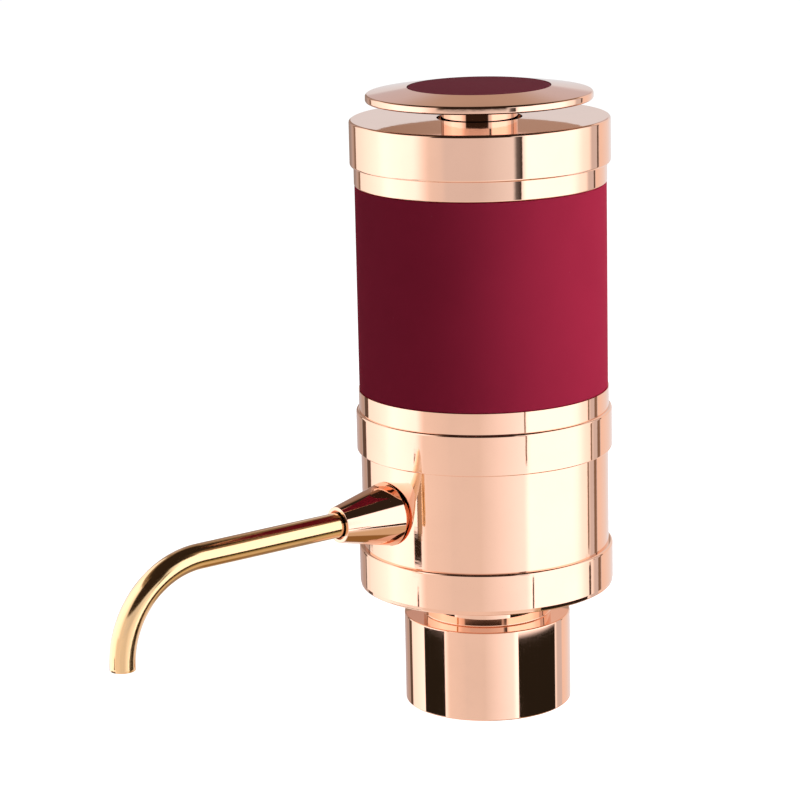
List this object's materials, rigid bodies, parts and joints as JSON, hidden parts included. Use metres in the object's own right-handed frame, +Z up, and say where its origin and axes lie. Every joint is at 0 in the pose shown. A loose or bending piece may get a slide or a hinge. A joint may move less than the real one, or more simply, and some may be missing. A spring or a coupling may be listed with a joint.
{
  "type": "electric wine aerator",
  "caption": "Battery wine aerator and pourer: a push-button air pump in a plated and burgundy cylinder over a bottle collar, with a bent swivelling spout.",
  "frame": {"origin": "centre of the collar's bottom edge, on the body's axis", "axes": "+Z up along the body's axis, the spout points along -Y"},
  "size_m": [0.062, 0.1394, 0.1513],
  "materials": {
    "rose_plating": "polished",
    "gold_tube": "satin",
    "burgundy_coat": "satin",
    "insert_coat": "satin",
    "black_plastic": "satin",
    "grey_plastic": "satin",
    "clear_plastic": "gloss",
    "white_plastic": "satin",
    "soft_silicone": "matte",
    "black_rubber": "matte",
    "steel": "satin",
    "spring_steel": "polished",
    "nickel_strip": "polished",
    "green_board": "satin",
    "cell_wrap": "satin",
    "red_wire": "satin",
    "black_wire": "satin"
  },
  "bodies": {
    "main_body": {"collar": "rose_plating", "bottle_seal": "black_rubber", "socket_gasket": "black_rubber", "port_block": "black_plastic", "inlet_nipple": "steel", "base_cover": "rose_plating", "collar_screws": "steel", "lower_housing": "rose_plating", "housing_screws": "steel", "wine_conduit": "clear_plastic", "aerator_jet": "white_plastic", "spout_o_ring": "black_rubber", "pump_pad": "black_rubber", "pump_head": "grey_plastic", "valve_plate": "grey_plastic", "pump_valves": "soft_silicone", "diaphragm": "black_rubber", "pump_body": "grey_plastic", "pump_screws": "steel", "motor_can": "steel", "motor_end_cap": "black_plastic", "motor_terminals": "nickel_strip", "air_hose": "soft_silicone", "left_motor_lead": "red_wire", "right_motor_lead": "black_wire", "body_sleeve": "burgundy_coat", "battery_case": "black_plastic", "case_screws": "steel", "battery_cells": "cell_wrap", "lower_contacts": "nickel_strip"},
    "cap": {"top_cap": "rose_plating", "button_guide": "black_plastic", "switch_carrier": "black_plastic", "carrier_screws": "steel", "switch_board": "green_board", "switch_body": "black_plastic", "upper_contacts": "nickel_strip", "button_spring": "spring_steel"},
    "button": {"button_disc": "rose_plating", "button_insert": "insert_coat", "button_stem": "rose_plating", "stem_clip": "spring_steel"},
    "plunger": {"switch_plunger": "white_plastic"},
    "spout_turret": {"spout_cone": "rose_plating", "spout_clip": "spring_steel"},
    "spout_pipe": {"spout_tube": "gold_tube"},
    "rotor": {"motor_shaft": "spring_steel", "crank": "white_plastic"},
    "wobble": {"wobble_plate": "white_plastic", "drive_pin": "spring_steel"}
  },
  "joints": [
    {"name": "cap_twist", "type": "hinge", "parent": "main_body", "child": "cap", "pos_m": [0, 0, 0.12815], "axis": [0, 0, 1], "range_deg": [0, 30]},
    {"name": "button_press", "type": "slide", "parent": "cap", "child": "button", "axis": [0, 0, -1], "range_m": [0, 0.002], "stiffness_N_per_m": 600, "springref_m": -0.003, "deforming": ["button_spring"]},
    {"name": "plunger_press", "type": "slide", "parent": "cap", "child": "plunger", "axis": [0, 0, -1], "range_m": [0, 0.002]},
    {"name": "spout_swivel", "type": "hinge", "parent": "main_body", "child": "spout_turret", "pos_m": [0, -0.03, 0.05185], "axis": [0, -1, 0], "continuous": true},
    {"name": "spout_pull", "type": "slide", "parent": "spout_turret", "child": "spout_pipe", "axis": [0, -1, 0], "range_m": [0, 0.025]},
    {"name": "rotor_spin", "type": "hinge", "parent": "main_body", "child": "rotor", "pos_m": [0, 0.0135, 0.04365], "axis": [0, 0, 1], "continuous": true, "deforming": ["diaphragm"]},
    {"name": "wobble_rock", "type": "hinge", "parent": "rotor", "child": "wobble", "pos_m": [0, 0.0135, 0.04365], "axis": [0, 0.1045, 0.9945], "continuous": true}
  ],
  "couplings": [
    {"joint": "plunger_press", "follows": "button_press", "ratio": 1},
    {"joint": "wobble_rock", "follows": "rotor_spin", "ratio": -1}
  ]
}
